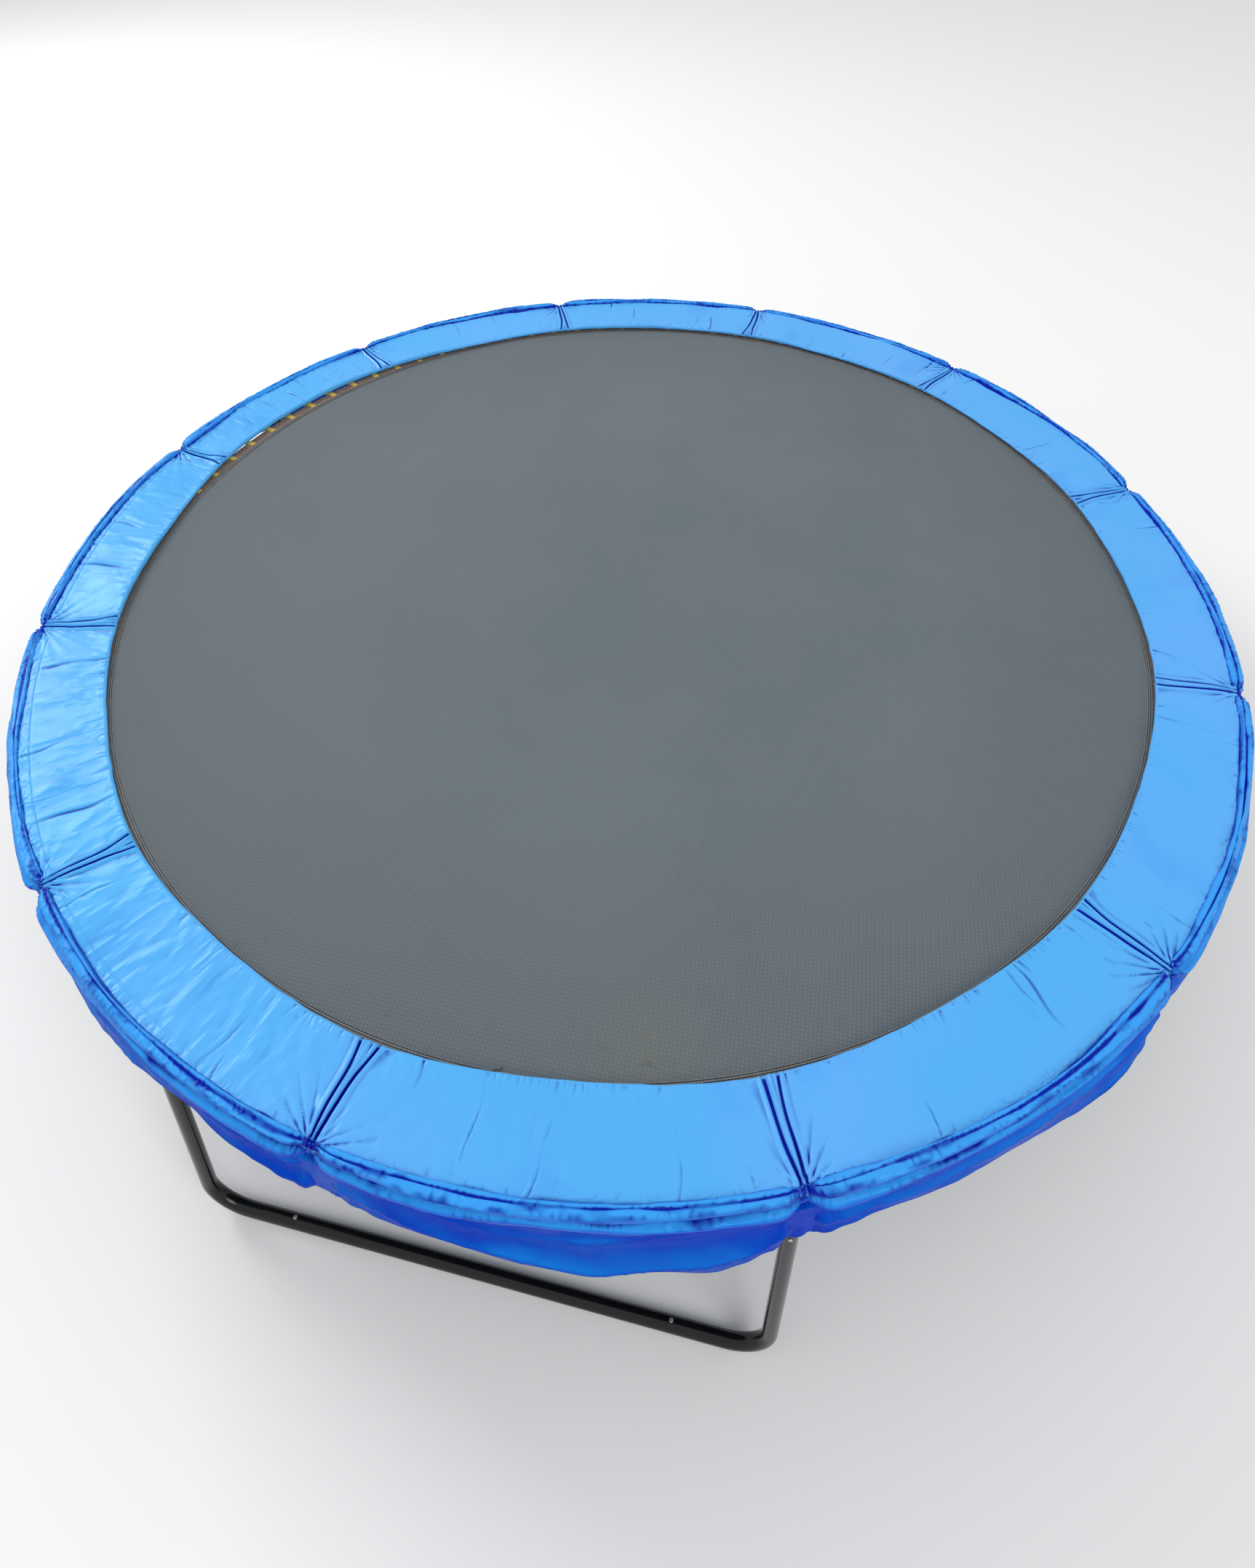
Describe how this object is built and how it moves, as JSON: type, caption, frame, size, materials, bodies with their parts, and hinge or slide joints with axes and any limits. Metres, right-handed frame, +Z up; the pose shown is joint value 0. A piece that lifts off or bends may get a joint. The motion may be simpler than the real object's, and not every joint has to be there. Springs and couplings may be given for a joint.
{
  "type": "backyard trampoline",
  "caption": "Round backyard trampoline: woven mat on extension springs in a ring of bent tube on U-shaped legs, with a segmented safety pad and a hanging skirt.",
  "frame": {"origin": "on the ground at the centre of the ring", "axes": "+Z up; one U-shaped leg is centred on each of +X, +Y, -X and -Y"},
  "size_m": [4.308, 4.308, 0.9508],
  "materials": {
    "coated_steel": "satin",
    "zinc_steel": "satin",
    "spring_steel": "satin",
    "foam": "matte",
    "pad_vinyl": "gloss",
    "skirt_vinyl": "gloss",
    "elastic_webbing": "matte",
    "hem_webbing": "matte",
    "loop_webbing": "matte",
    "mat_weave": "satin"
  },
  "bodies": {
    "frame": {"top_rail_1": "coated_steel", "top_rail_2": "coated_steel", "top_rail_3": "coated_steel", "top_rail_4": "coated_steel", "top_rail_5": "coated_steel", "top_rail_6": "coated_steel", "top_rail_7": "coated_steel", "top_rail_8": "coated_steel", "leg_socket_1": "coated_steel", "leg_socket_2": "coated_steel", "leg_socket_3": "coated_steel", "leg_socket_4": "coated_steel", "leg_socket_5": "coated_steel", "leg_socket_6": "coated_steel", "leg_socket_7": "coated_steel", "leg_socket_8": "coated_steel", "leg_upright_1": "coated_steel", "leg_upright_2": "coated_steel", "leg_upright_3": "coated_steel", "leg_upright_4": "coated_steel", "leg_upright_5": "coated_steel", "leg_upright_6": "coated_steel", "leg_upright_7": "coated_steel", "leg_upright_8": "coated_steel", "base_tube_1": "coated_steel", "base_tube_2": "coated_steel", "base_tube_3": "coated_steel", "base_tube_4": "coated_steel", "socket_screws": "zinc_steel", "base_screws": "zinc_steel", "springs_1": "spring_steel", "springs_2": "spring_steel", "springs_3": "spring_steel", "springs_4": "spring_steel", "springs_5": "spring_steel", "springs_6": "spring_steel", "springs_7": "spring_steel", "springs_8": "spring_steel", "pad_foam_01": "foam", "pad_foam_02": "foam", "pad_foam_03": "foam", "pad_foam_04": "foam", "pad_foam_05": "foam", "pad_foam_06": "foam", "pad_foam_07": "foam", "pad_foam_08": "foam", "pad_foam_09": "foam", "pad_foam_10": "foam", "pad_foam_11": "foam", "pad_foam_12": "foam", "pad_cover_base": "pad_vinyl", "pad_cover_top": "pad_vinyl", "pad_edge_roll": "pad_vinyl", "pad_skirt": "skirt_vinyl", "pad_ties": "elastic_webbing"},
    "mat_edge": {"mat_hem": "hem_webbing", "v_rings": "spring_steel", "webbing_loops": "loop_webbing"},
    "jump_bed": {"jump_mat": "mat_weave"}
  },
  "joints": [
    {"name": "edge_drop", "type": "slide", "parent": "frame", "child": "mat_edge", "axis": [0, 0, 1], "range_m": [-0.05, 0], "stiffness_N_per_m": 39000, "springref_m": 0.005, "deforming": ["springs_1", "springs_2", "springs_3", "springs_4", "springs_5", "springs_6", "springs_7", "springs_8"]},
    {"name": "bed_bounce", "type": "slide", "parent": "mat_edge", "child": "jump_bed", "axis": [0, 0, 1], "range_m": [-0.45, 0], "stiffness_N_per_m": 4300, "springref_m": 0.02}
  ]
}
